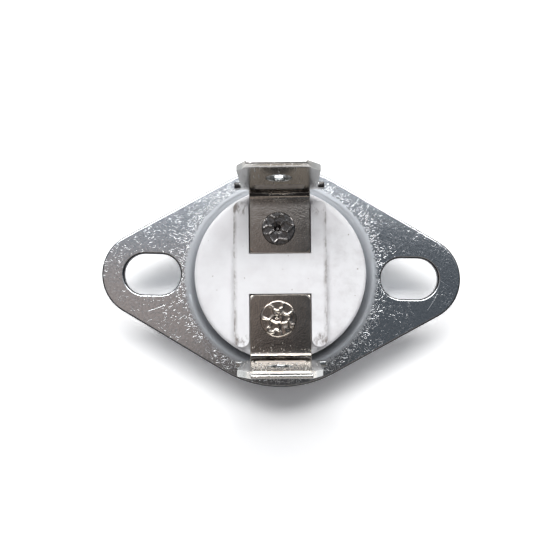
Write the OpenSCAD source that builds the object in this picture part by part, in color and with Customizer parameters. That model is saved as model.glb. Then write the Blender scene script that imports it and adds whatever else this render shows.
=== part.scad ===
// Snap-disc temperature switch: a dished bimetal disc in an aluminium cap lifts a push pin,
// which parts two contacts inside a ceramic body. A slotted flange fixes it to a surface.
// Origin at the centre of the sensing face, +Z towards the tab tips, slots along X.

/* [Flange] */
// Length over the rounded ends
flange_len = 33.5; // [32.5:0.1:37]
// Width across the middle
flange_w = 20.6; // [19.6:0.1:23]
// Radius of the rounded ends
flange_end_r = 4; // [3.6:0.1:4.8]
// Thickness of the sheet
flange_t = 0.8; // [0.6:0.05:1]
// Height of the top face above the sensing face
flange_z = 5.2; // [4.9:0.1:5.6]
// Distance between the slot centres
slot_spacing = 24; // [23:0.1:25]
// Length of a slot from end to end
slot_len = 5.3; // [4.4:0.1:5.8]
// Width of a slot
slot_w = 3.8; // [3:0.1:4.2]
// Radius of the rounded shoulder above the drawn neck
shoulder_r = 1; // [0.8:0.05:1.2]
// Wall of the drawn neck
neck_t = 0.5; // [0.4:0.05:0.7]

/* [Sensing cap] */
// Outer radius of the cup
cap_r = 7.95; // [7.8:0.05:8.3]
// Wall of the drawn cup
cap_wall = 0.4; // [0.3:0.05:0.5]
// Thickness of the sensing face
cap_floor = 0.45; // [0.3:0.05:0.6]
// Rounding of the lower edge
cap_edge_r = 0.8; // [0.6:0.05:1]
// How far the upper wall is set in, which leaves the flange's seat
cap_step = 0.2; // [0.1:0.02:0.24]
// Height of the flange's seat
cap_step_z = 3.2; // [2.6:0.1:3.4]
// How far the rolled rim reaches into the groove of the body
rim_reach = 0.5; // [0.3:0.05:0.6]
// Height of the rolled rim's top
rim_z = 4.7; // [4.4:0.05:4.8]

/* [Ceramic body] */
// Turn of the body and terminals in the flange, in degrees
body_turn = 1.5; // [0:0.1:5]
// Radius of the head that stands above the flange
head_r = 7.4; // [7.3:0.05:7.6]
// Height of the head's flat top
head_z = 10; // [9.6:0.1:11]
// Rounding of the head's rim
head_edge_r = 0.35; // [0.2:0.05:0.5]
// Height of the raised land between and beside the terminal feet
land_h = 0.65; // [0.4:0.05:0.8]
// Width of the land's long ribs
rib_w = 1.3; // [1.2:0.05:1.6]
// Length of the ribs from end to end
rib_len = 12.4; // [11.8:0.1:12.6]
// Radius of the switch chamber
chamber_r = 6.1; // [5.9:0.05:6.3]
// Height of the chamber's ceiling
chamber_z = 7.8; // [7.6:0.1:8.2]
// Radius of the bosses round the rivets
boss_r = 1.25; // [1.1:0.05:1.3]

/* [Terminals] */
// Thickness of the terminal strip
tab_t = 0.5; // [0.45:0.05:0.6]
// Width of a foot
foot_w = 5.2; // [5:0.05:5.5]
// Distance from the centre to a foot's inner end
foot_in = 1.75; // [1.6:0.05:2]
// Inside radius of the bend
bend_r = 0.6; // [0.5:0.05:0.8]
// Distance from the centre to the back blade's inner face at the bend
back_blade_y = 7; // [6.9:0.05:7.3]
// Outward lean of the back blade, in degrees
back_lean = 3; // [0:0.5:6]
// Distance from the centre to the front blade's inner face at the bend
front_blade_y = 7.25; // [6.9:0.05:7.3]
// Outward lean of the front blade, in degrees
front_lean = 1.5; // [0:0.5:6]
// Width of the blade
blade_w = 6.35; // [6.3:0.01:6.5]
// Height of the blade above the bend
blade_h = 7.75; // [7:0.05:8.4]
// Width over the two stop nubs
stop_w = 7.5; // [7:0.1:8]
// Height of the stop nubs above the bend
stop_rise = 0.4; // [0.2:0.05:0.6]
// Height of a stop nub
stop_h = 0.7; // [0.5:0.05:0.9]
// Width of the tip's left cut corner, seen from the body
tip_cut_left = 0.8; // [0.7:0.05:1.2]
// Width of the tip's right cut corner, seen from the body
tip_cut_right = 1.1; // [0.7:0.05:1.3]
// Height of the cut tip corners
tip_cut_h = 1.35; // [1:0.05:1.6]
// Depth of the bevel along the tip's inner edge
tip_bevel = 0.25; // [0.1:0.05:0.3]
// Radius of the blade's locking hole
lock_hole_r = 1; // [0.8:0.05:1.1]
// Distance of the locking hole from the tip
lock_hole_drop = 3.5; // [3.2:0.1:3.8]
// Size of the coined corners at a foot's inner end
coin_size = 0.6; // [0.4:0.05:1]
// Depth of the coined corners
coin_depth = 0.15; // [0.1:0.05:0.3]

/* [Rivets] */
// Distance from the centre to a rivet
rivet_y = 3.84; // [3.7:0.01:3.95]
// Radius of the shank
shank_r = 0.8; // [0.6:0.05:0.9]
// Radius of the back rivet's staked head
back_head_r = 1.42; // [1.3:0.01:1.6]
// Radius of the front rivet's staked head
front_head_r = 1.55; // [1.3:0.01:1.65]
// Height of a staked head
stake_h = 0.3; // [0.2:0.05:0.4]
// Radius of the formed head inside the chamber
formed_r = 1.2; // [1.1:0.05:1.3]
// Height of the formed head
formed_h = 0.5; // [0.4:0.05:0.6]
// Number of staking notches
stake_count = 7; // [5:1:9]

/* [Bimetal disc and push pin] */
// Radius of the disc
disc_r = 6.5; // [6.2:0.05:6.55]
// Thickness of the disc
disc_t = 0.25; // [0.15:0.05:0.3]
// Depth of its dish
disc_dish = 0.35; // [0.2:0.05:0.4]
// Wall of the guide's skirt
skirt_t = 0.8; // [0.6:0.05:0.9]
// Thickness of the guide's plate
guide_t = 1.7; // [1.5:0.1:1.9]
// Height of the guide's sleeve above the plate
sleeve_h = 1.2; // [0.8:0.1:1.5]
// Outer radius of the sleeve
sleeve_r = 1.7; // [1.4:0.05:2]
// Radius of the push pin
pin_r = 0.8; // [0.7:0.05:0.85]

/* [Contacts] */
// Height of the fixed strip's top face
strip_z = 5.6; // [5.5:0.05:5.9]
// Thickness of the fixed strip
strip_t = 0.4; // [0.3:0.05:0.5]
// Width of the fixed strip
strip_w = 3.2; // [2.8:0.1:3.6]
// Thickness of the spring arm
arm_t = 0.25; // [0.15:0.05:0.3]
// Width of the spring arm
arm_w = 3.4; // [3:0.1:3.8]
// Distance from the centre to the contacts
contact_y = 1.75; // [1.65:0.01:1.8]
// Radius of a contact
contact_r = 0.65; // [0.5:0.05:0.7]
// Height of the fixed contact
fixed_h = 0.4; // [0.3:0.05:0.5]
// Height of the moving contact
moving_h = 0.35; // [0.3:0.05:0.4]
// Radius of a contact's stud
stud_r = 0.35; // [0.25:0.05:0.4]

/* [Clearances] */
// Radial fit of pieces that are pressed or cast round each other
fit = 0.03; // [0.02:0.01:0.05]
// Play of a foot in its pocket, each side
pocket_gap = 0.05; // [0.03:0.01:0.1]
// Running clearance round the push pin
pin_fit = 0.05; // [0.02:0.01:0.08]
// Play above and below the pin, under the disc and between the contacts
touch_gap = 0.03; // [0.02:0.01:0.05]
// Play of the disc's rim below the guide
rim_play = 0.1; // [0.05:0.01:0.15]
// Distance of the spring arm and the fixed strip from their neighbours
strip_gap = 0.2; // [0.15:0.01:0.22]

/* [Hidden] */
$fn = 96;
over = 0.5;
bend_steps = 12;

cap_upper_r = cap_r - cap_step;
neck_in_r = cap_upper_r + fit;
base_r = cap_upper_r - cap_wall - fit;
groove_r = base_r - rim_reach - fit;
rim_under = rim_z - cap_wall;

disc_z = cap_floor + touch_gap;
guide_under = disc_z + disc_dish + disc_t + rim_play;
guide_r = cap_r - cap_wall - fit;
guide_top = guide_under + guide_t;
pin_bottom = disc_z + disc_t + touch_gap;

fixed_top = strip_z + fixed_h;
arm_under = fixed_top + touch_gap + moving_h;
arm_top = arm_under + arm_t;
arm_tip = rivet_y - boss_r - strip_gap;
root_reach = rivet_y + formed_r + strip_gap;
pin_top = arm_under - touch_gap;

foot_top = head_z + tab_t;
pocket_w = foot_w + 2 * pocket_gap;
pocket_in = foot_in - pocket_gap;
bend_z = foot_top + bend_r;

// Turns a piece of the switch body with the body
module in_body() {
    rotate([0, 0, body_turn]) children();
}

// Sliver between a square corner at the origin and a round of radius r, for cutting it off
module corner_sliver(r) {
    difference() {
        translate([-over, -over]) square(r + over);
        translate([r, r]) circle(r);
    }
}

// Flat plate outline: a middle disc and two end discs joined by tangent edges
module flange_outline() {
    mid_r = flange_w / 2;
    end_x = flange_len / 2 - flange_end_r;
    slope = asin((mid_r - flange_end_r) / end_x);
    normal = [sin(slope), cos(slope)];
    mid_point = mid_r * normal;
    end_point = [end_x, 0] + flange_end_r * normal;
    quarter = [mid_point, end_point];
    circle(mid_r);
    for (side = [-1, 1]) {
        translate([side * end_x, 0]) circle(flange_end_r);
        polygon([for (p = concat(quarter, [[end_point.x, -end_point.y], [mid_point.x, -mid_point.y]]))
            [side * p.x, p.y]]);
    }
}

module slot() {
    run = slot_len - slot_w;
    depth = flange_t + 2 * over;
    for (side = [-1, 1]) translate([side * run / 2, 0, 0]) cylinder(h = depth, d = slot_w);
    translate([-run / 2, -slot_w / 2, 0]) cube([run, slot_w, depth]);
}

// Section of the drawn neck, from its seat on the cap up to the flat of the plate
module neck_section() {
    difference() {
        union() {
            translate([neck_in_r, cap_step_z]) square([neck_t, flange_z - cap_step_z]);
            translate([neck_in_r, flange_z - flange_t]) square([shoulder_r + neck_t, flange_t]);
        }
        translate([neck_in_r, flange_z]) mirror([0, 1]) corner_sliver(shoulder_r);
    }
}

module mounting_flange() {
    color("silver") {
        difference() {
            translate([0, 0, flange_z - flange_t]) linear_extrude(flange_t) flange_outline();
            translate([0, 0, flange_z - flange_t - over])
                cylinder(h = flange_t + 2 * over, r = neck_in_r + shoulder_r);
            for (side = [-1, 1])
                translate([side * slot_spacing / 2, 0, flange_z - flange_t - over]) slot();
        }
        rotate_extrude() neck_section();
    }
}

// Drawn cup with a set-in upper wall and a rim rolled into the groove of the body
module cap_section() {
    step_under = cap_step_z - cap_wall;
    upper_in_r = cap_upper_r - cap_wall;
    difference() {
        union() {
            square([cap_r, cap_step_z]);
            square([cap_upper_r, rim_z]);
        }
        translate([cap_r, 0]) mirror([1, 0]) corner_sliver(cap_edge_r);
        difference() {
            translate([-over, cap_floor]) square([cap_r - cap_wall + over, step_under - cap_floor]);
            translate([cap_r - cap_wall, cap_floor]) mirror([1, 0]) corner_sliver(cap_edge_r - cap_wall);
        }
        translate([-over, step_under - over]) square([upper_in_r + over, rim_under - step_under + over]);
        translate([-over, step_under]) square([upper_in_r - rim_reach + over, rim_z]);
    }
}

module sensing_cap() {
    color("gainsboro") rotate_extrude() cap_section();
}

// Outside of the ceramic: base in the cap, groove for the rim, head with a rounded top
module body_section() {
    difference() {
        translate([0, guide_top]) square([head_r, head_z - guide_top]);
        translate([base_r, guide_top - over]) square([head_r, rim_z + fit - guide_top + over]);
        translate([groove_r, rim_under]) square([head_r, cap_wall + fit]);
        translate([head_r, head_z]) mirror([1, 0]) mirror([0, 1]) corner_sliver(head_edge_r);
    }
}

// Raised land in the form of an H: two ribs with round ends and a bar between the feet
module land() {
    rib_x = (pocket_w + rib_w) / 2;
    rib_run = rib_len - rib_w;
    for (side = [-1, 1]) translate([side * rib_x, 0, head_z - over]) {
        translate([-rib_w / 2, -rib_run / 2, 0]) cube([rib_w, rib_run, land_h + over]);
        for (end = [-1, 1])
            translate([0, end * rib_run / 2, 0]) cylinder(h = land_h + over, d = rib_w);
    }
    translate([-rib_x, -pocket_in, head_z - over]) cube([2 * rib_x, 2 * pocket_in, land_h + over]);
}

module chamber() {
    difference() {
        translate([0, 0, guide_top - over]) cylinder(h = chamber_z - guide_top + over, r = chamber_r);
        translate([0, rivet_y, arm_top]) cylinder(h = chamber_z - arm_top + over, r = boss_r);
        translate([0, -rivet_y, strip_z]) cylinder(h = chamber_z - strip_z + over, r = boss_r);
    }
}

module ceramic_body() {
    color("white") in_body() difference() {
        union() {
            rotate_extrude() body_section();
            land();
        }
        chamber();
        for (side = [-1, 1])
            translate([0, side * rivet_y, 0]) cylinder(h = head_z + over, r = shank_r + fit);
    }
}

// Plate that spans the cap, with a skirt on the cap's floor and a sleeve for the push pin
module pin_guide() {
    floor_round = cap_edge_r - cap_wall;
    wide_top = min(guide_top, cap_step_z - cap_wall - fit);
    color("ivory") difference() {
        union() {
            translate([0, 0, cap_floor]) cylinder(h = floor_round, r1 = guide_r - floor_round, r2 = guide_r);
            translate([0, 0, cap_floor + floor_round])
                cylinder(h = wide_top - cap_floor - floor_round, r = guide_r);
            translate([0, 0, guide_under]) cylinder(h = guide_t, r = base_r);
            translate([0, 0, guide_under]) cylinder(h = guide_t + sleeve_h, r = sleeve_r);
        }
        translate([0, 0, -over]) cylinder(h = guide_under + over, r = guide_r - skirt_t);
        translate([0, 0, -over]) cylinder(h = guide_top + sleeve_h + 2 * over, r = pin_r + pin_fit);
    }
}

// Rod with a domed top
module push_pin() {
    dome_r = 2 * pin_r;
    dome_z = pin_top - dome_r;
    color("ivory") {
        translate([0, 0, pin_bottom]) cylinder(h = dome_z - pin_bottom, r = pin_r);
        translate([0, 0, dome_z]) intersection() {
            cylinder(h = dome_r, r = pin_r);
            sphere(dome_r);
        }
    }
}

// Disc dished towards the sensing face, its depth growing with the square of the radius
module bimetal_disc() {
    steps = 10;
    under = [for (i = [0:steps]) [disc_r * i / steps, disc_dish * pow(i / steps, 2)]];
    upper = [for (i = [steps:-1:0]) under[i] + [0, disc_t]];
    color("tan") translate([0, 0, disc_z]) rotate_extrude() polygon(concat(under, upper));
}

// Leaf spring clamped under the back rivet, over the push pin, with a rounded tip
module contact_arm() {
    color("goldenrod") in_body() difference() {
        union() {
            translate([-arm_w / 2, arm_w / 2 - arm_tip, arm_under])
                cube([arm_w, root_reach + arm_tip - arm_w / 2, arm_t]);
            translate([0, arm_w / 2 - arm_tip, arm_under]) cylinder(h = arm_t, d = arm_w);
        }
        translate([0, rivet_y, arm_under - over]) cylinder(h = arm_t + 2 * over, r = shank_r + fit);
        translate([0, -contact_y, arm_under - over]) cylinder(h = arm_t + 2 * over, r = stud_r + fit);
    }
}

module moving_contact() {
    color("lightgray") in_body() translate([0, -contact_y, 0]) {
        translate([0, 0, arm_under - moving_h]) cylinder(h = moving_h, r = contact_r);
        translate([0, 0, arm_under]) cylinder(h = arm_t, r = stud_r);
    }
}

// Stiff strip clamped under the front rivet, ending beside the push pin
module fixed_strip() {
    inner_end = pin_r + strip_gap;
    color("goldenrod") in_body() difference() {
        translate([-strip_w / 2, -root_reach, strip_z - strip_t])
            cube([strip_w, root_reach - inner_end, strip_t]);
        translate([0, -rivet_y, strip_z - strip_t - over]) cylinder(h = strip_t + 2 * over, r = shank_r + fit);
        translate([0, -contact_y, strip_z - strip_t - over]) cylinder(h = strip_t + 2 * over, r = stud_r + fit);
    }
}

module fixed_contact() {
    color("lightgray") in_body() translate([0, -contact_y, 0]) {
        translate([0, 0, strip_z]) cylinder(h = fixed_h, r = contact_r);
        translate([0, 0, strip_z - strip_t]) cylinder(h = strip_t, r = stud_r);
    }
}

// Points on an arc about the bend's axis, from the foot's direction round to the blade's
function bend_arc(r, bend_y, lean) = [for (i = [0:bend_steps]) let (a = (90 - lean) * i / bend_steps)
    [bend_y + r * sin(a), bend_z - r * cos(a)]];

// Point on the blade, at a height above the bend and a depth behind the inner face
function blade_point(height, depth, bend_y, lean) =
    [bend_y + (bend_r + depth) * cos(lean) + height * sin(lean),
     bend_z - (bend_r + depth) * sin(lean) + height * cos(lean)];

// Strip seen from its edge: foot, bend and blade, with the inner face bevelled at the tip
module strip_section(bend_y, lean) {
    tip = [blade_point(blade_h, tab_t, bend_y, lean), blade_point(blade_h, tip_bevel, bend_y, lean),
        blade_point(blade_h - 2 * tip_bevel, 0, bend_y, lean)];
    inner = bend_arc(bend_r, bend_y, lean);
    polygon(concat([[foot_in, head_z]], bend_arc(bend_r + tab_t, bend_y, lean), tip,
        [for (i = [bend_steps:-1:0]) inner[i]], [[foot_in, foot_top]]));
}

// Strip seen on its face: foot and root, stop nubs, blade and a tip with cut corners
module strip_outline() {
    stop_top = stop_rise + stop_h;
    below = -tab_t - bend_r - over;
    right = [[foot_w / 2, below], [foot_w / 2, stop_rise], [stop_w / 2, stop_rise],
        [stop_w / 2, stop_top], [blade_w / 2, stop_top], [blade_w / 2, blade_h - tip_cut_h],
        [blade_w / 2 - tip_cut_right, blade_h]];
    left = [[tip_cut_left - blade_w / 2, blade_h], [-blade_w / 2, blade_h - tip_cut_h],
        [-blade_w / 2, stop_top], [-stop_w / 2, stop_top], [-stop_w / 2, stop_rise],
        [-foot_w / 2, stop_rise], [-foot_w / 2, below]];
    polygon(concat(right, left));
}

// Turns shapes drawn on a blade's face, with Y up the blade and Z towards its inner side
module on_blade(bend_y, lean) {
    translate([0, bend_y, bend_z]) rotate([90 - lean, 0, 0]) children();
}

// Slanted cuts at the two corners of a foot's inner end
module coined_corners() {
    tilt = atan(coin_depth * sqrt(2) / coin_size);
    for (side = [-1, 1])
        translate([side * (foot_w - coin_size) / 2, foot_in + coin_size / 2, foot_top])
            rotate([0, tilt, -90 + side * 45]) translate([0, -coin_size, 0])
                cube([2 * coin_size, 2 * coin_size, tab_t]);
}

// Strip bent up from its foot into a blade, on the +Y side
module terminal(blade_y, lean) {
    bend_y = blade_y - bend_r;
    reach = blade_y + tab_t;
    hole_rise = blade_h - lock_hole_drop;
    difference() {
        intersection() {
            translate([-stop_w / 2 - over, 0, 0]) rotate([90, 0, 90])
                linear_extrude(stop_w + 2 * over) strip_section(bend_y, lean);
            on_blade(bend_y, lean) translate([0, 0, -reach]) linear_extrude(2 * reach) strip_outline();
        }
        on_blade(bend_y, lean) translate([0, hole_rise, -reach]) cylinder(h = 2 * reach, r = lock_hole_r);
        translate([0, rivet_y, head_z - over]) cylinder(h = tab_t + 2 * over, r = shank_r + fit);
        coined_corners();
    }
}

module terminal_back() {
    color("darkgray") in_body() terminal(back_blade_y, back_lean);
}

module terminal_front() {
    color("darkgray") in_body() rotate([0, 0, 180]) terminal(front_blade_y, front_lean);
}

// Staked head with a dimple and radial notches
module staked_head(head_radius) {
    notch = stake_h / 2;
    difference() {
        rotate_extrude() difference() {
            square([head_radius, stake_h]);
            translate([head_radius, stake_h]) mirror([1, 0]) mirror([0, 1]) corner_sliver(notch);
        }
        translate([0, 0, stake_h - notch]) cylinder(h = stake_h, r1 = notch, r2 = 3 * notch);
        for (i = [0:stake_count - 1])
            rotate([0, 0, i * 360 / stake_count]) translate([head_radius / 2, 0, stake_h])
                rotate([45, 0, 0]) translate([0, -notch / 2, -notch / 2]) cube([head_radius, notch, notch]);
    }
}

// Rivet from its formed head under the clamped strip to its staked head on the foot
module rivet(clamp_under, head_radius) {
    translate([0, 0, foot_top]) staked_head(head_radius);
    translate([0, 0, clamp_under]) cylinder(h = foot_top - clamp_under, r = shank_r);
    translate([0, 0, clamp_under - formed_h]) cylinder(h = formed_h, r = formed_r);
}

module rivet_back() {
    color("dimgray") in_body() translate([0, rivet_y, 0]) rivet(arm_under, back_head_r);
}

module rivet_front() {
    color("gray") in_body() translate([0, -rivet_y, 0]) rivet(strip_z - strip_t, front_head_r);
}

mounting_flange();
sensing_cap();
ceramic_body();
pin_guide();
push_pin();
bimetal_disc();
contact_arm();
moving_contact();
fixed_strip();
fixed_contact();
terminal_back();
terminal_front();
rivet_back();
rivet_front();
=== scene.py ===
import math

import bmesh
import bpy
from mathutils import Matrix, Vector, noise


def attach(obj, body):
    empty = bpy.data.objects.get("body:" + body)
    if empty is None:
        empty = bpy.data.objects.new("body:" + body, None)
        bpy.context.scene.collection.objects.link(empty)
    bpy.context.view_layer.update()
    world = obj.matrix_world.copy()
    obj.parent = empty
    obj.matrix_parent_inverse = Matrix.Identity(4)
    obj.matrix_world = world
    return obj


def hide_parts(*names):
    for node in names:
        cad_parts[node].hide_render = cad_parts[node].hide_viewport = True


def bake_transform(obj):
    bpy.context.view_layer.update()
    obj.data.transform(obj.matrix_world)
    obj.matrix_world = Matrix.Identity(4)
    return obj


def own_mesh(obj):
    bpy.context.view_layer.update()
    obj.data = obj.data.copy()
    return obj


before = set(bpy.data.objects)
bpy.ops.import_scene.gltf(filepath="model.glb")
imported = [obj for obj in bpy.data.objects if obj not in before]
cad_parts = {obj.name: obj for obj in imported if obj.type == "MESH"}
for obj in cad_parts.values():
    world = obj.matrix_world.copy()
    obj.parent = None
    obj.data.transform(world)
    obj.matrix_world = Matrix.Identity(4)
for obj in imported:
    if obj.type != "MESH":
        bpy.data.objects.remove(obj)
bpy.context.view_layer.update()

MM = 0.001
TO_MM = 1000.0

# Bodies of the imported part
HOUSING = "housing"

# Turn of the body and the terminals in the flange
BODY_TURN = math.radians(1.5)

# Places and sizes on the part, in millimetres
SHOULDER_R = 8.78
HEAD_R = 7.4
HEAD_TOP = 10.0
RIB_EDGE_X = 3.95
RIB_END = (3.3, 5.6, 0.0)
FOOT_TOP = 10.5
BEND_Y = 6.6
BLADE_ROOT = 11.1
BAND_HALF = 2.0
NUB_X = 3.2
CHAMFER_FROM = 16.0
TIP_FROM = 17.0
TIP_LINE = 18.2
RIVET_Y = 3.84
SHANK_R = 0.8
FORMED_R = 1.2
FORMED_H = 0.5
BOSS_EDGE_Y = 2.59

# Node kinds that the materials use often
MATH = "ShaderNodeMath"
VECTOR = "ShaderNodeVectorMath"
SPLIT = "ShaderNodeSeparateXYZ"
STEP = "ShaderNodeMapRange"
NOISE = "ShaderNodeTexNoise"
CELLS = "ShaderNodeTexVoronoi"
MIX = "ShaderNodeMix"
BUMP = "ShaderNodeBump"
SMOOTH = "SMOOTHSTEP"


def linear(hex_colour):
    """Linear RGBA of an sRGB hex colour."""
    channels = [int(hex_colour[i:i + 2], 16) / 255 for i in (1, 3, 5)]
    return [c / 12.92 if c <= 0.04045 else ((c + 0.055) / 1.055) ** 2.4 for c in channels] + [1.0]


def add(tree, kind, inputs, **settings):
    """Adds a node with its settings, values and links, and gives its first output in use."""
    node = tree.nodes.new(kind)
    for name, value in settings.items():
        setattr(node, name, value)
    for key, value in inputs.items():
        if isinstance(value, bpy.types.NodeSocket):
            tree.links.new(value, node.inputs[key])
        else:
            node.inputs[key].default_value = value
    return next((output for output in node.outputs if output.enabled), None)


def empty_tree(owner):
    """The node tree of a material or world, with nothing in it."""
    owner.use_nodes = True
    owner.node_tree.nodes.clear()
    return owner.node_tree


def put_in_scene(name, data):
    """New object at the origin that shows a mesh, lamp or camera."""
    thing = bpy.data.objects.new(name, data)
    bpy.context.scene.collection.objects.link(thing)
    return thing


def start_material(name, **constants):
    """Node material with its shader, and Object coordinates in millimetres, turned to the body's own axes."""
    material = bpy.data.materials.new(name)
    tree = empty_tree(material)
    values = {key.replace("_", " "): value for key, value in constants.items()}
    shader = add(tree, "ShaderNodeBsdfPrincipled", values)
    add(tree, "ShaderNodeOutputMaterial", {"Surface": shader})
    place = add(tree, "ShaderNodeTexCoord", {}).node.outputs["Object"]
    mm = add(tree, "ShaderNodeMapping", {
        "Vector": place, "Rotation": (0, 0, -BODY_TURN), "Scale": (TO_MM, TO_MM, TO_MM)})
    return material, tree, shader.node.inputs, mm


# Scratches: the shortest as a share of the longest, and how fast they deepen from their ends
# and with the luck of their cell
SHORTEST = 0.3
END_RISE = 3.0
CELL_RISE = 1.8


def scratches(tree, mm, cell, width, length, bow, shift, share):
    """Marks a bowed scratch, turned at random, in a share of the cells of one size.
    Width and length are measured from the middle of the scratch; all sizes are in mm."""
    spread = add(tree, VECTOR, {0: mm, 1: (shift, shift, 0.0)}, operation="ADD")
    cells = add(tree, CELLS, {"Vector": spread, "Scale": 1 / cell}, voronoi_dimensions="2D").node.outputs
    turn, size, luck = add(tree, "ShaderNodeSeparateColor", {0: cells["Color"]}).node.outputs
    offset = add(tree, VECTOR, {0: spread, 1: cells["Position"]}, operation="SUBTRACT")
    angle = add(tree, MATH, {0: turn, 1: math.tau}, operation="MULTIPLY")
    turned = add(tree, "ShaderNodeVectorRotate", {"Vector": offset, "Angle": angle}, rotation_type="Z_AXIS")
    along, across, _ = add(tree, SPLIT, {0: turned}).node.outputs
    arc = add(tree, MATH, {0: along, 1: along}, operation="MULTIPLY")
    aside = add(tree, MATH, {0: arc, 1: bow, 2: across}, operation="MULTIPLY_ADD")
    aside = add(tree, MATH, {0: aside}, operation="ABSOLUTE")
    along = add(tree, MATH, {0: along}, operation="ABSOLUTE")
    reach = add(tree, STEP, {"Value": size, "To Min": SHORTEST * length, "To Max": length})
    line = add(tree, STEP, {"Value": aside, "From Min": width, "From Max": 0.0}, interpolation_type=SMOOTH)
    ends = add(tree, STEP, {"Value": along, "From Min": reach, "From Max": 0.0})
    ends = add(tree, MATH, {0: ends, 1: END_RISE}, operation="MULTIPLY", use_clamp=True)
    present = add(tree, MATH, {0: share, 1: luck}, operation="SUBTRACT")
    present = add(tree, MATH, {0: present, 1: CELL_RISE}, operation="MULTIPLY", use_clamp=True)
    line = add(tree, MATH, {0: line, 1: ends}, operation="MULTIPLY")
    return add(tree, MATH, {0: line, 1: present}, operation="MULTIPLY")


# Marks, as scratches() takes them: cell, width, length, bow, shift and the share of cells that have one.
# The nicks have the share of unworn plate and then a strength. The specks at the bend have no share here,
# because it grows towards the bend.
LONG_SCRATCHES = (2.6, 0.022, 1.4, 0.06, 41.3, 0.4)
PLATE_NICKS = (
    (0.55, 0.022, 0.36, 0.6, 3.1, 0.05, 0.9),
    (0.3, 0.02, 0.2, -1.0, 17.7, 0.05, 0.9),
    (0.4, 0.022, 0.28, 1.6, 67.9, 0.05, 0.9),
    (0.2, 0.018, 0.13, 0.0, 29.3, 0.15, 0.7))
BEND_SPECKS = (0.24, 0.04, 0.07, 0.0, 9.1)
FIRING_SPECKS = (1.6, 0.09, 0.1, 0.0, 5.3, 0.5)


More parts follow.
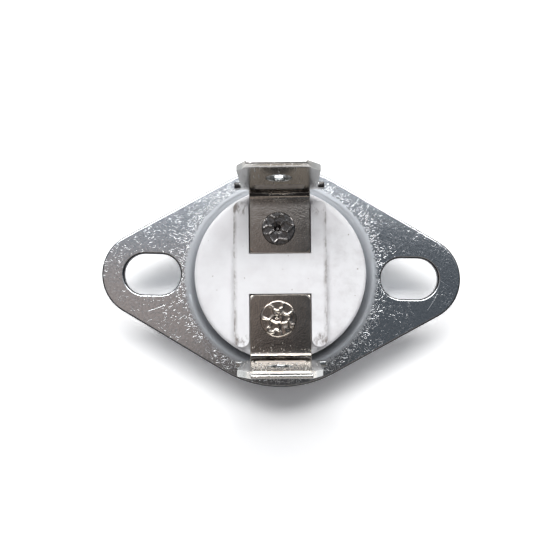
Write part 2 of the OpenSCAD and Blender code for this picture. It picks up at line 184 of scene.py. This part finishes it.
# Bright zinc plate on punched sheet: a soft mirror with many small handling nicks, thickest round the body.
# The drawn shoulder keeps the matt, blue-grey skin of the forming tool, and the punched walls carry a painted
# dark shade.
def zinc_plate():
    material, tree, shader, mm = start_material("zinc_plate_handled", Metallic=1.0)
    x, y, _ = add(tree, SPLIT, {0: mm}).node.outputs
    flat = add(tree, VECTOR, {0: mm, 1: (1, 1, 0)}, operation="MULTIPLY")
    radius = add(tree, VECTOR, {0: flat}, operation="LENGTH")
    haze = add(tree, NOISE, {"Vector": mm, "Scale": 1 / 0.2, "Detail": 3.0, "Roughness": 0.65})

    # The bright plate starts outside the shoulder, at a frayed line
    fray = add(tree, NOISE, {"Vector": mm, "Scale": 1 / 0.3, "Detail": 4.0, "Roughness": 0.7})
    fray = add(tree, MATH, {0: fray, 1: 0.7, 2: radius}, operation="MULTIPLY_ADD")
    plate = add(tree, STEP, {"Value": fray, "From Min": SHOULDER_R + 0.25, "From Max": SHOULDER_R + 0.8},
                interpolation_type=SMOOTH)

    # Wear is heaviest beside the shoulder, more towards the back, least at the right end, and patchy
    near = add(tree, STEP, {"Value": radius, "From Min": SHOULDER_R + 1.5, "From Max": SHOULDER_R + 0.5},
               interpolation_type=SMOOTH)
    clear = add(tree, MATH, {0: y, 1: 0.8, 2: x}, operation="MULTIPLY_ADD")
    clear = add(tree, STEP, {
        "Value": clear, "From Min": 6.0, "From Max": 11.0, "To Min": 0.2, "To Max": 0.02})
    back = add(tree, STEP, {"Value": y, "From Min": -1.0, "From Max": 5.0}, interpolation_type=SMOOTH)
    patches = add(tree, NOISE, {"Vector": mm, "Scale": 1 / 2.4, "Detail": 4.0, "Roughness": 0.6})
    patches = add(tree, STEP, {"Value": patches, "From Min": 0.4, "From Max": 0.65},
                  interpolation_type=SMOOTH)
    wear = add(tree, MATH, {0: near, 1: 0.58, 2: clear}, operation="MULTIPLY_ADD")
    wear = add(tree, MATH, {0: back, 1: 0.2, 2: wear}, operation="MULTIPLY_ADD")
    wear = add(tree, MATH, {0: patches, 1: 0.32, 2: wear}, operation="MULTIPLY_ADD")

    # Nicks of four sizes over a few long scratches
    marks = scratches(tree, mm, *LONG_SCRATCHES)
    for *nick, unworn, strength in PLATE_NICKS:
        share = add(tree, MATH, {0: wear, 1: unworn}, operation="ADD")
        layer = scratches(tree, mm, *nick, share)
        marks = add(tree, MATH, {0: layer, 1: strength, 2: marks}, operation="MULTIPLY_ADD")
    marks = add(tree, MATH, {0: marks, 1: plate}, operation="MULTIPLY", use_clamp=True)

    # Punched walls, round the outline and in the slots, where the faces turn sideways: painted dark shade
    facing = add(tree, "ShaderNodeNewGeometry", {}).node.outputs["Normal"]
    level = add(tree, SPLIT, {0: facing}).node.outputs["Z"]
    level = add(tree, MATH, {0: level}, operation="ABSOLUTE")
    punched_wall_shade = add(tree, STEP, {"Value": level, "From Min": 0.96, "From Max": 0.87})
    punched_wall_shade = add(tree, MATH, {0: punched_wall_shade, 1: plate}, operation="MULTIPLY")

    tone = add(tree, STEP, {"Value": haze, "From Min": 0.3, "From Max": 0.7})
    tone = add(tree, MIX, {"Factor": tone, 6: linear("#c0c3c6"), 7: linear("#dcdedf")}, data_type="RGBA")
    tone = add(tree, MIX, {"Factor": plate, 6: linear("#c6cace"), 7: tone}, data_type="RGBA")
    # Painted dark shade on the punched walls
    tone = add(tree, MIX, {"Factor": punched_wall_shade, 6: tone, 7: linear("#47484b")}, data_type="RGBA")
    tree.links.new(tone, shader["Base Color"])

    rough = add(tree, STEP, {"Value": plate, "To Min": 0.36, "To Max": 0.1})
    rough = add(tree, MATH, {0: haze, 1: 0.06, 2: rough}, operation="MULTIPLY_ADD")
    rough = add(tree, MATH, {0: marks, 1: 0.22, 2: rough}, operation="MULTIPLY_ADD")
    tree.links.new(rough, shader["Roughness"])

    # Heights in mm
    crinkle = add(tree, NOISE, {"Vector": mm, "Scale": 1 / 0.35, "Detail": 4.0, "Roughness": 0.65})
    scuffed = add(tree, MATH, {0: wear, 1: plate}, operation="MULTIPLY")
    dents = add(tree, MATH, {0: crinkle, 1: scuffed}, operation="MULTIPLY")
    height = add(tree, MATH, {0: dents, 1: 0.0015}, operation="MULTIPLY")
    height = add(tree, MATH, {0: haze, 1: 0.0025, 2: height}, operation="MULTIPLY_ADD")
    height = add(tree, MATH, {0: marks, 1: 0.0075, 2: height}, operation="MULTIPLY_ADD")
    tree.links.new(add(tree, BUMP, {"Height": height, "Distance": MM}), shader["Normal"])
    return material


# Nickel plate on rolled strip, with the sheet's fine grain: warm grey and glossy on the foot, satin on the
# blade, whose lighter, cooler tone is painted reflection. The bending tool has left specks at the bend and a
# scuffed band, worn bare, at the foot of the blade. The cut edges are dull, and the back terminal's cut edges
# and stop nubs are painted darker still as shade; the tips carry a painted highlight.
def nickel_strip():
    material, tree, shader, mm = start_material("nickel_plate_rolled_strip")
    side = add(tree, VECTOR, {0: mm}, operation="ABSOLUTE")
    x, y, z = add(tree, SPLIT, {0: side}).node.outputs
    from_middle = add(tree, SPLIT, {0: mm}).node.outputs["Y"]
    facing = add(tree, "ShaderNodeNewGeometry", {}).node.outputs["Normal"]
    facing_x, facing_y, facing_z = add(tree, SPLIT, {0: facing}).node.outputs
    grain = add(tree, NOISE, {"Vector": mm, "Scale": 1 / 0.12, "Detail": 2.0, "Roughness": 0.6})
    cloud = add(tree, NOISE, {"Vector": mm, "Scale": 1 / 0.8, "Detail": 3.0})
    blade = add(tree, STEP, {"Value": z, "From Min": BLADE_ROOT, "From Max": BLADE_ROOT + 0.8})
    # Painted highlight along the tops of the blades
    tip_highlight = add(tree, STEP, {"Value": z, "From Min": TIP_LINE, "From Max": TIP_LINE + 0.3})

    # Cut edges, dull; on the back terminal painted darker as shade, less so on the chamfers of its tip
    back_terminal_shade = add(tree, STEP, {"Value": from_middle, "From Min": -1.0, "From Max": 1.0, "To Min": 0.25})
    cut_edge_and_shade = add(tree, MATH, {0: facing_x}, operation="ABSOLUTE")
    cut_edge_and_shade = add(tree, STEP, {"Value": cut_edge_and_shade, "From Min": 0.4, "From Max": 0.65, "To Max": 0.85})
    cut_edge_and_shade = add(tree, MATH, {0: cut_edge_and_shade, 1: back_terminal_shade}, operation="MULTIPLY")
    chamfer = add(tree, STEP, {"Value": facing_z, "From Min": 0.3, "From Max": 0.6})
    upper = add(tree, STEP, {"Value": z, "From Min": CHAMFER_FROM, "From Max": CHAMFER_FROM + 0.5})
    chamfer = add(tree, MATH, {0: chamfer, 1: upper}, operation="MULTIPLY")
    chamfer = add(tree, STEP, {"Value": chamfer, "To Min": 1.0, "To Max": 0.55})
    cut_edge_and_shade = add(tree, MATH, {0: cut_edge_and_shade, 1: chamfer}, operation="MULTIPLY")
    # Stop nubs, painted dark as shade on the back terminal
    nub_shade = add(tree, STEP, {"Value": x, "From Min": NUB_X, "From Max": NUB_X + 0.1})
    nub_shade = add(tree, MATH, {0: nub_shade, 1: back_terminal_shade}, operation="MULTIPLY")

    # Scuffed band on the face of the blade that looks to the middle of the part
    inner = add(tree, MATH, {0: facing_y, 1: from_middle}, operation="MULTIPLY")
    inner = add(tree, STEP, {"Value": inner, "From Min": -2.0, "From Max": -4.0})
    low = add(tree, STEP, {"Value": z, "From Min": BLADE_ROOT + 0.5, "From Max": BLADE_ROOT + 0.8})
    high = add(tree, STEP, {"Value": z, "From Min": BLADE_ROOT + 2.2, "From Max": BLADE_ROOT + 1.7})
    middle = add(tree, STEP, {"Value": x, "From Min": BAND_HALF + 0.15, "From Max": BAND_HALF - 0.15})
    scuff = add(tree, STEP, {"Value": grain, "From Min": 0.3, "From Max": 0.7, "To Min": 0.4, "To Max": 1.0})
    for limit in (low, high, middle, inner):
        scuff = add(tree, MATH, {0: scuff, 1: limit}, operation="MULTIPLY")

    bend = add(tree, STEP, {"Value": y, "From Min": BEND_Y - 1.4, "From Max": BEND_Y, "To Max": 0.6})
    specks = scratches(tree, mm, *BEND_SPECKS, bend)

    # The blade's lighter, cooler colour than the foot's is painted reflection, on one strip of the same plate
    tone = add(tree, STEP, {"Value": cloud, "From Min": 0.3, "From Max": 0.7})
    tone = add(tree, MIX, {"Factor": tone, 6: linear("#aaa39b"), 7: linear("#b9b2aa")}, data_type="RGBA")
    for part, colour in ((blade, "#c6c8c7"), (scuff, "#dccfc6"), (tip_highlight, "#eceae6"), (cut_edge_and_shade, "#62615f"),
                         (nub_shade, "#3a3938")):
        tone = add(tree, MIX, {"Factor": part, 6: tone, 7: linear(colour)}, data_type="RGBA")
    tree.links.new(tone, shader["Base Color"])

    plated = add(tree, STEP, {"Value": scuff, "To Min": 1.0, "To Max": 0.25})
    tree.links.new(plated, shader["Metallic"])

    rough = add(tree, MATH, {0: blade, 1: 0.11}, operation="MULTIPLY")
    for part, more in ((grain, 0.12), (scuff, 0.5), (cut_edge_and_shade, 0.25), (specks, 0.3)):
        rough = add(tree, MATH, {0: part, 1: more, 2: rough}, operation="MULTIPLY_ADD")
    tree.links.new(rough, shader["Roughness"])

    # Heights in mm
    height = add(tree, MATH, {0: grain, 1: 0.006}, operation="MULTIPLY")
    for part, depth in ((cloud, 0.004), (scuff, 0.05), (specks, 0.012)):
        height = add(tree, MATH, {0: part, 1: depth, 2: height}, operation="MULTIPLY_ADD")
    tree.links.new(add(tree, BUMP, {"Height": height, "Distance": MM}), shader["Normal"])
    return material


# Pressed and fired white ceramic, unglazed: matt with a slight sheen, fine pores, a few brown firing specks,
# grey metal rubbed off at the ribs, a painted shade line along the ribs' outer edges, and faint darker
# blotches to the right.
def fired_ceramic():
    material, tree, shader, mm = start_material(
        "steatite_ceramic_unglazed", Roughness=0.42, Subsurface_Weight=0.15,
        Subsurface_Radius=(1.0, 1.0, 1.0), Subsurface_Scale=0.4 * MM)
    right, _, z = add(tree, SPLIT, {0: mm}).node.outputs
    flat = add(tree, VECTOR, {0: mm, 1: (1, 1, 0)}, operation="MULTIPLY")
    radius = add(tree, VECTOR, {0: flat}, operation="LENGTH")
    side = add(tree, VECTOR, {0: flat}, operation="ABSOLUTE")
    x = add(tree, SPLIT, {0: side})
    cloud = add(tree, NOISE, {"Vector": mm, "Scale": 1 / 2.2, "Detail": 3.0, "Roughness": 0.55})

    # Metal rubbed off on the ends and outer edges of the ribs and round the rim
    end = add(tree, VECTOR, {0: side, 1: RIB_END}, operation="DISTANCE")
    end = add(tree, STEP, {"Value": end, "From Min": 0.8, "From Max": 0.2}, interpolation_type=SMOOTH)
    edge = add(tree, MATH, {0: x, 1: RIB_EDGE_X}, operation="SUBTRACT")
    edge = add(tree, MATH, {0: edge}, operation="ABSOLUTE")
    edge = add(tree, STEP, {"Value": edge, "From Min": 0.4, "From Max": 0.0}, interpolation_type=SMOOTH)
    rim = add(tree, STEP, {"Value": radius, "From Min": HEAD_R - 0.9, "From Max": HEAD_R},
              interpolation_type=SMOOTH)
    worn = add(tree, MATH, {0: edge, 1: 0.6, 2: end}, operation="MULTIPLY_ADD")
    worn = add(tree, MATH, {0: rim, 1: 0.2, 2: worn}, operation="MULTIPLY_ADD")
    stretched = add(tree, VECTOR, {0: mm, 1: (1.0, 0.45, 1.0)}, operation="MULTIPLY")
    dirt = add(tree, NOISE, {"Vector": stretched, "Scale": 1 / 0.7, "Detail": 5.0, "Roughness": 0.65})
    dirt = add(tree, STEP, {"Value": dirt, "From Min": 0.46, "From Max": 0.62}, interpolation_type=SMOOTH)
    rub_and_shade = add(tree, MATH, {0: dirt, 1: worn}, operation="MULTIPLY", use_clamp=True)
    # A soft painted shade line along the ribs' outer edges, all the way along
    rub_and_shade = add(tree, MATH, {0: edge, 1: 0.26, 2: rub_and_shade}, operation="MULTIPLY_ADD", use_clamp=True)
    on_top = add(tree, STEP, {"Value": z, "From Min": HEAD_TOP - 0.1, "From Max": HEAD_TOP + 0.4})
    rub_and_shade = add(tree, MATH, {0: rub_and_shade, 1: on_top}, operation="MULTIPLY")

    # Faint darker blotches, more to the right
    right = add(tree, STEP, {
        "Value": right, "From Min": 0.0, "From Max": 6.0, "To Min": 0.02, "To Max": 0.16})
    blotch = add(tree, NOISE, {"Vector": mm, "Scale": 1 / 1.1, "Detail": 6.0, "Roughness": 0.7})
    blotch = add(tree, STEP, {"Value": blotch, "From Min": 0.4, "From Max": 0.7}, interpolation_type=SMOOTH)
    rub_and_shade = add(tree, MATH, {0: blotch, 1: right, 2: rub_and_shade}, operation="MULTIPLY_ADD", use_clamp=True)

    firing = scratches(tree, mm, *FIRING_SPECKS)
    tone = add(tree, STEP, {"Value": cloud, "From Min": 0.35, "From Max": 0.7})
    tone = add(tree, MIX, {"Factor": tone, 6: linear("#f2f2f4"), 7: linear("#ebeaec")}, data_type="RGBA")
    # Rubbed-off metal, the painted shade line and the blotches, all in one grey-brown
    rub_and_shade_amount = add(tree, MATH, {0: rub_and_shade, 1: 0.85}, operation="MULTIPLY")
    tone = add(tree, MIX, {"Factor": rub_and_shade_amount, 6: tone, 7: linear("#6c6058")}, data_type="RGBA")
    tone = add(tree, MIX, {"Factor": firing, 6: tone, 7: linear("#8f8175")}, data_type="RGBA")
    tree.links.new(tone, shader["Base Color"])

    # Heights in mm
    pores = add(tree, NOISE, {"Vector": mm, "Scale": 1 / 0.16, "Detail": 3.0, "Roughness": 0.6})
    height = add(tree, MATH, {0: pores, 1: 0.006}, operation="MULTIPLY")
    height = add(tree, MATH, {0: cloud, 1: 0.02, 2: height}, operation="MULTIPLY_ADD")
    tree.links.new(add(tree, BUMP, {"Height": height, "Distance": MM}), shader["Normal"])
    return material


def mottled_metal(name, dark, light, roughness, size, depth):
    """Bare or plated metal with a mottle of one size and depth in mm."""
    material, tree, shader, mm = start_material(name, Metallic=1.0)
    mottle = add(tree, NOISE, {"Vector": mm, "Scale": 1 / size, "Detail": 3.0, "Roughness": 0.6})
    tone = add(tree, STEP, {"Value": mottle, "From Min": 0.3, "From Max": 0.7})
    tone = add(tree, MIX, {"Factor": tone, 6: linear(dark), 7: linear(light)}, data_type="RGBA")
    tree.links.new(tone, shader["Base Color"])
    rough = add(tree, MATH, {0: mottle, 1: 0.15, 2: roughness}, operation="MULTIPLY_ADD")
    tree.links.new(rough, shader["Roughness"])
    tree.links.new(add(tree, BUMP, {"Height": mottle, "Distance": depth * MM}), shader["Normal"])
    return material


# Limits for the clean-up of meshes, with lengths in metres
WELD = 1e-7
SEAM_WELD = 1e-6
FLAT_ANGLE = math.radians(1)
SHARP_ANGLE = math.radians(30)
CREASE_ANGLE = math.radians(35)


def copy_mesh(node):
    """A CAD node's mesh, welded, with its flat faces whole."""
    bm = bmesh.new()
    bm.from_mesh(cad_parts[node].data)
    bmesh.ops.remove_doubles(bm, verts=bm.verts, dist=WELD)
    bmesh.ops.dissolve_limit(bm, angle_limit=FLAT_ANGLE, verts=bm.verts, edges=bm.edges)
    return bm


def soften(bm, radius, segments, above=0.0):
    """Rounds every sharp edge above a height, with height and radius in mm."""
    sharp = [edge for edge in bm.edges if edge.is_manifold and edge.calc_face_angle() > SHARP_ANGLE
             and min(vert.co.z for vert in edge.verts) > above * MM]
    bmesh.ops.bevel(bm, geom=sharp, offset=radius * MM, offset_type="OFFSET", affect="EDGES",
                    segments=segments, profile=0.5, material=-1, clamp_overlap=True)


def finish_piece(name, bm, material, node):
    """Mesh object at the origin that stands for a CAD node."""
    mesh = bpy.data.meshes.new(name)
    bm.to_mesh(mesh)
    bm.free()
    mesh.materials.append(material)
    mesh.shade_smooth()
    mesh.set_sharp_from_angle(angle=CREASE_ANGLE)
    piece = put_in_scene(name, mesh)
    weighted = piece.modifiers.new("flat_faces_lead", "WEIGHTED_NORMAL")
    weighted.keep_sharp = True
    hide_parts(node)
    return piece


# Mesh of the rivet heads, in mm
RIVET_HEAD_H = 0.18
RIVET_RINGS = 32
RIVET_STEPS = 144
CLOSE = 0.01
# Ridges: how often they sway in a millimetre, and how far from the rim they fade
SWAYS = 2.5
RIM_FADE = 0.25
# Punched hole: how steep its wall is, and the depth and reach of its lip
HOLE_STEEP = 1.6
LIP_DEPTH = 0.1
LIP_REACH = 1.8


def hammered_rivet(node, material, side, clamp, head_r, drift, ridge, blows, sway, hole):
    """Rivet turned from one outline, with its head drifted off its axis. Hammer blows leave flat cells in the
    head, with a swaying ridge (height, width) between them. A hole is (x, y, radius, depth), all in mm."""
    top = FOOT_TOP + RIVET_HEAD_H
    ridge_h, ridge_w = ridge
    hole_x, hole_y, hole_r, hole_depth = hole
    stem = [(0, clamp - FORMED_H), (FORMED_R, clamp - FORMED_H), (FORMED_R, clamp), (SHANK_R, clamp),
            (SHANK_R, FOOT_TOP), (head_r - 0.1, FOOT_TOP)]
    rim = [(head_r, FOOT_TOP + 0.06), (head_r, FOOT_TOP + 0.1), (head_r - 0.03, FOOT_TOP + 0.16)]
    face = [((head_r - 0.08) * (1 - i / RIVET_RINGS), top) for i in range(RIVET_RINGS + 1)]
    bm = bmesh.new()
    outline = [bm.verts.new((r * MM, 0, z * MM)) for r, z in stem + rim + face]
    edges = [bm.edges.new(pair) for pair in zip(outline, outline[1:])]
    bmesh.ops.spin(bm, geom=outline + edges, axis=(0, 0, 1), angle=math.tau, steps=RIVET_STEPS,
                   use_merge=True)
    bmesh.ops.remove_doubles(bm, verts=bm.verts, dist=SEAM_WELD)
    bmesh.ops.recalc_face_normals(bm, faces=bm.faces)
    for vert in bm.verts:
        below_head = vert.co.z < (FOOT_TOP - CLOSE) * MM
        on_shank = vert.co.xy.length < (SHANK_R + CLOSE) * MM and vert.co.z < top * MM - SEAM_WELD
        if below_head or on_shank:
            continue
        spot = vert.co.xy * TO_MM
        if vert.co.z > (top - CLOSE) * MM:
            swayed = spot + sway * noise.noise_vector(Vector((*spot, side)) * SWAYS).xy
            first, second = sorted((swayed - Vector(blow)).length for blow in blows)[:2]
            raised = ridge_h * math.exp(-((second - first) / ridge_w) ** 2)
            raised *= min(1.0, (head_r - spot.length) / RIM_FADE)
            from_hole = (spot - Vector((hole_x, hole_y))).length / hole_r
            sunk = hole_depth * min(1.0, max(0.0, HOLE_STEEP * (1 - from_hole)))
            sunk += LIP_DEPTH * max(0.0, 1 - from_hole / LIP_REACH)
            vert.co.z += (raised - sunk) * MM
        vert.co.x += drift * MM
    bmesh.ops.translate(bm, verts=bm.verts, vec=(0, side * RIVET_Y * MM, 0))
    bmesh.ops.rotate(bm, verts=bm.verts, matrix=Matrix.Rotation(BODY_TURN, 3, "Z"))
    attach(finish_piece(node + "_hammered", bm, material, node), HOUSING)


zinc = zinc_plate()
nickel = nickel_strip()
ceramic = fired_ceramic()
# Drawn aluminium, satin
aluminium = mottled_metal("aluminium_drawn", "#c4c6c8", "#d6d7d9", roughness=0.3, size=0.4, depth=0.006)
# Rolled bimetal, brownish grey
bimetal = mottled_metal("bimetal_rolled", "#8d8579", "#a39a8d", roughness=0.3, size=0.3, depth=0.006)
# Rolled copper alloy for springs
copper = mottled_metal("copper_alloy_rolled", "#b98b5c", "#cc9d6b", roughness=0.25, size=0.3, depth=0.006)
# Silver contacts, satin
silver = mottled_metal("silver_contact_satin", "#d3d2ce", "#e2e1de", roughness=0.25, size=0.2, depth=0.006)
# Hammered steel, the same in both rivets: the back one is painted darker as shade, the front one bright
shaded_rivet_steel = mottled_metal("rivet_steel_painted_shade", "#63615f", "#827f7d", roughness=0.1, size=0.2, depth=0.004)
bright_steel = mottled_metal(
    "rivet_steel_bright", "#9f968d", "#b5aca2", roughness=0.08, size=0.2, depth=0.004)

# Pressed, punched and bent pieces keep their solids, with the edges that the press leaves.
# The tips of the blades are crisper than the rest.
TIP_RADIUS = 0.05
TIP_SEGMENTS = 3
for node, radius, segments, material, slot in (
        ("mounting_flange", 0.2, 4, zinc, "plated_flange"),
        ("ceramic_body", 0.28, 4, ceramic, "white_ceramic"),
        ("terminal_back", 0.12, 3, nickel, "nickel_terminal"),
        ("terminal_front", 0.12, 3, nickel, "nickel_terminal")):
    pressed = copy_mesh(node)
    soften(pressed, TIP_RADIUS, TIP_SEGMENTS, above=TIP_FROM)
    soften(pressed, radius, segments)
    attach(finish_piece(node + "_pressed", pressed, material, node), HOUSING)

# The two rivets were struck differently: a star round a punch mark at the back, cobbles in front.
# The seed makes the sway of the ridges the same in each run.
noise.seed_set(8)
STAR = [(0.75 * math.cos(a) - 0.15, 0.75 * math.sin(a)) for a in (0.2, 1.2, 2.3, 3.3, 4.3, 5.4)]
STAR += [(1.3 * math.cos(a), 1.3 * math.sin(a)) for a in (0.7, 1.7, 2.8, 3.9, 4.9, 5.9)]
COBBLES = [(0, 1.2), (-0.86, 0.47), (0.6, 0.82), (-0.13, 0.17), (0.73, 0.04), (-1.29, -0.43), (-0.39, -0.65),
           (0.43, -0.78), (1.3, -0.17), (0.95, -0.85), (-0.2, -1.45)]
hammered_rivet("rivet_back", shaded_rivet_steel, side=1, clamp=6.38, head_r=1.42, drift=-0.11,
               ridge=(0.04, 0.12), blows=STAR, sway=0.0, hole=(-0.08, 0.05, 0.3, 0.35))
hammered_rivet("rivet_front", bright_steel, side=-1, clamp=5.2, head_r=1.55, drift=-0.18,
               ridge=(0.045, 0.19), blows=COBBLES, sway=0.27, hole=(-0.13, 0.17, 0.1, 0.0))

# The spring arm bends from its clamped end, so it has cross cuts to bend at
ARM_CUTS = 9
ARM_CUT_STEP = 0.3
spring = copy_mesh("contact_arm")
for number in range(1, ARM_CUTS + 1):
    cut = (0, (BOSS_EDGE_Y - ARM_CUT_STEP * number) * MM, 0)
    bmesh.ops.bisect_plane(spring, geom=spring.verts[:] + spring.edges[:] + spring.faces[:], dist=WELD,
                           plane_co=cut, plane_no=(0, 1, 0))
arm_piece = finish_piece("contact_arm_sprung", spring, copper, "contact_arm")
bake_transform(arm_piece)

# The disc flattens towards its rim as it lifts the pin
disc = finish_piece("bimetal_disc_dished", copy_mesh("bimetal_disc"), bimetal, "bimetal_disc")
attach(disc, HOUSING)
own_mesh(disc)

# The other pieces show their solids as they are
for node, material in (("sensing_cap", aluminium), ("pin_guide", ceramic), ("push_pin", ceramic),
                       ("moving_contact", silver), ("fixed_strip", copper), ("fixed_contact", silver)):
    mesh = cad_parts[node].data
    mesh.materials.clear()
    mesh.materials.append(material)

# White paper under the part, in metres. The camera and mirrors see it brighter than it is, so that it burns
# out to white but keeps the shadow. From PAPER_NEAR to PAPER_FAR it turns plain white.
PAPER_HALF = 1.5
PAPER_NEAR = 0.04
PAPER_FAR = 0.09
PAPER_LIT = "#f4f4f4"
PAPER_SEEN = (1.5, 1.5, 1.5, 1.0)


def paper_floor():
    bm = bmesh.new()
    bmesh.ops.create_grid(bm, x_segments=1, y_segments=1, size=PAPER_HALF)
    mesh = bpy.data.meshes.new("paper_floor")
    bm.to_mesh(mesh)
    bm.free()
    material = bpy.data.materials.new("white_paper")
    tree = empty_tree(material)
    path = add(tree, "ShaderNodeLightPath", {}).node.outputs
    seen = add(tree, MATH, {0: path["Is Camera Ray"], 1: path["Is Glossy Ray"]}, operation="MAXIMUM")
    seen = add(tree, MATH, {0: seen, 1: path["Is Transmission Ray"]}, operation="MAXIMUM")
    tone = add(tree, MIX, {"Factor": seen, 6: linear(PAPER_LIT), 7: PAPER_SEEN}, data_type="RGBA")
    paper = add(tree, "ShaderNodeBsdfDiffuse", {"Color": tone})
    place = add(tree, "ShaderNodeTexCoord", {}).node.outputs["Object"]
    far = add(tree, VECTOR, {0: place}, operation="LENGTH")
    far = add(tree, STEP, {"Value": far, "From Min": PAPER_NEAR, "From Max": PAPER_FAR},
              interpolation_type=SMOOTH)
    far = add(tree, MATH, {0: far, 1: seen}, operation="MULTIPLY")
    white = add(tree, "ShaderNodeEmission", {"Color": linear("#ffffff"), "Strength": 1.0})
    paper = add(tree, "ShaderNodeMixShader", {0: far, 1: paper, 2: white})
    add(tree, "ShaderNodeOutputMaterial", {"Surface": paper})
    mesh.materials.append(material)
    floor = put_in_scene("paper_floor", mesh)


def studio_room():
    """Room that the metal mirrors: overhead it is warm on the left, dim in front and white behind, and its
    walls are dark. The camera sees it plain white."""
    world = bpy.data.worlds.new("studio_room")
    bpy.context.scene.world = world
    tree = empty_tree(world)
    place = add(tree, "ShaderNodeTexCoord", {})
    right, back, up = add(tree, SPLIT, {0: place}).node.outputs
    aside = add(tree, MATH, {0: right}, operation="ABSOLUTE")
    behind = add(tree, MATH, {0: aside, 1: 0.15, 2: back}, operation="MULTIPLY_ADD")
    front = add(tree, MATH, {0: aside, 1: 0.5, 2: back}, operation="MULTIPLY_ADD")
    left = add(tree, STEP, {"Value": right, "From Min": -0.06, "From Max": -0.12})
    back_left = add(tree, MATH, {0: left, 1: back}, operation="MULTIPLY")

    # Each patch of the ceiling fades in from its first limit to its second
    sky = linear("#5f656c")
    for value, start, full, colour in (
            (right, 0.1, -0.16, "#b5aaa6"), (back_left, 0.05, 0.1, "#a2a9b2"), (front, 0.02, -0.1, "#424242"),
            (back, -0.2, -0.3, "#c8c2bd"), (behind, 0.155, 0.2, "#f2f7ff")):
        part = add(tree, STEP, {"Value": value, "From Min": start, "From Max": full},
                   interpolation_type=SMOOTH)
        sky = add(tree, MIX, {"Factor": part, 6: sky, 7: linear(colour)}, data_type="RGBA")

    part = add(tree, STEP, {"Value": back, "From Min": 0.0, "From Max": 0.5}, interpolation_type=SMOOTH)
    walls = add(tree, MIX, {"Factor": part, 6: linear("#303032"), 7: linear("#75777b")}, data_type="RGBA")
    part = add(tree, STEP, {"Value": up, "From Min": 0.93, "From Max": 0.75}, interpolation_type=SMOOTH)
    sky = add(tree, MIX, {"Factor": part, 6: sky, 7: walls}, data_type="RGBA")

    seen = add(tree, "ShaderNodeLightPath", {}).node.outputs["Is Camera Ray"]
    sky = add(tree, MIX, {"Factor": seen, 6: sky, 7: linear("#ffffff")}, data_type="RGBA")
    strength = add(tree, STEP, {"Value": seen, "To Min": 0.95, "To Max": 1.0})
    room = add(tree, "ShaderNodeBackground", {"Color": sky, "Strength": strength})
    add(tree, "ShaderNodeOutputWorld", {"Surface": room})


def soft_box(name, place, width, depth, power):
    """Oblong lamp that faces the part, with its place and sides in metres."""
    data = bpy.data.lights.new(name, "AREA")
    data.shape = "RECTANGLE"
    data.size = width
    data.size_y = depth
    data.energy = power
    lamp = put_in_scene(name, data)
    lamp.location = place
    lamp.rotation_euler = Vector(place).to_track_quat("Z", "Y").to_euler()


paper_floor()
studio_room()
soft_box("soft_box_behind", (-0.02, 0.283, 0.41), width=0.6, depth=0.14, power=2.8)

# Camera nearly straight above the part, as in the photograph, with its turn in radians
IMAGE_PX = 560
FOCAL_PX = 645.46
SENSOR_MM = 36.0
CAMERA_PLACE = (0.527 * MM, -2.637 * MM, 65.31 * MM)
CAMERA_TURN = (0.0384, 0.0090, 0.0178)
camera_data = bpy.data.cameras.new("camera")
camera_data.sensor_width = SENSOR_MM
camera_data.lens = FOCAL_PX * SENSOR_MM / IMAGE_PX
camera_data.clip_start = MM
camera = put_in_scene("camera", camera_data)
camera.location = CAMERA_PLACE
camera.rotation_euler = CAMERA_TURN
bpy.context.scene.camera = camera

bpy.context.scene.view_settings.view_transform = "Standard"
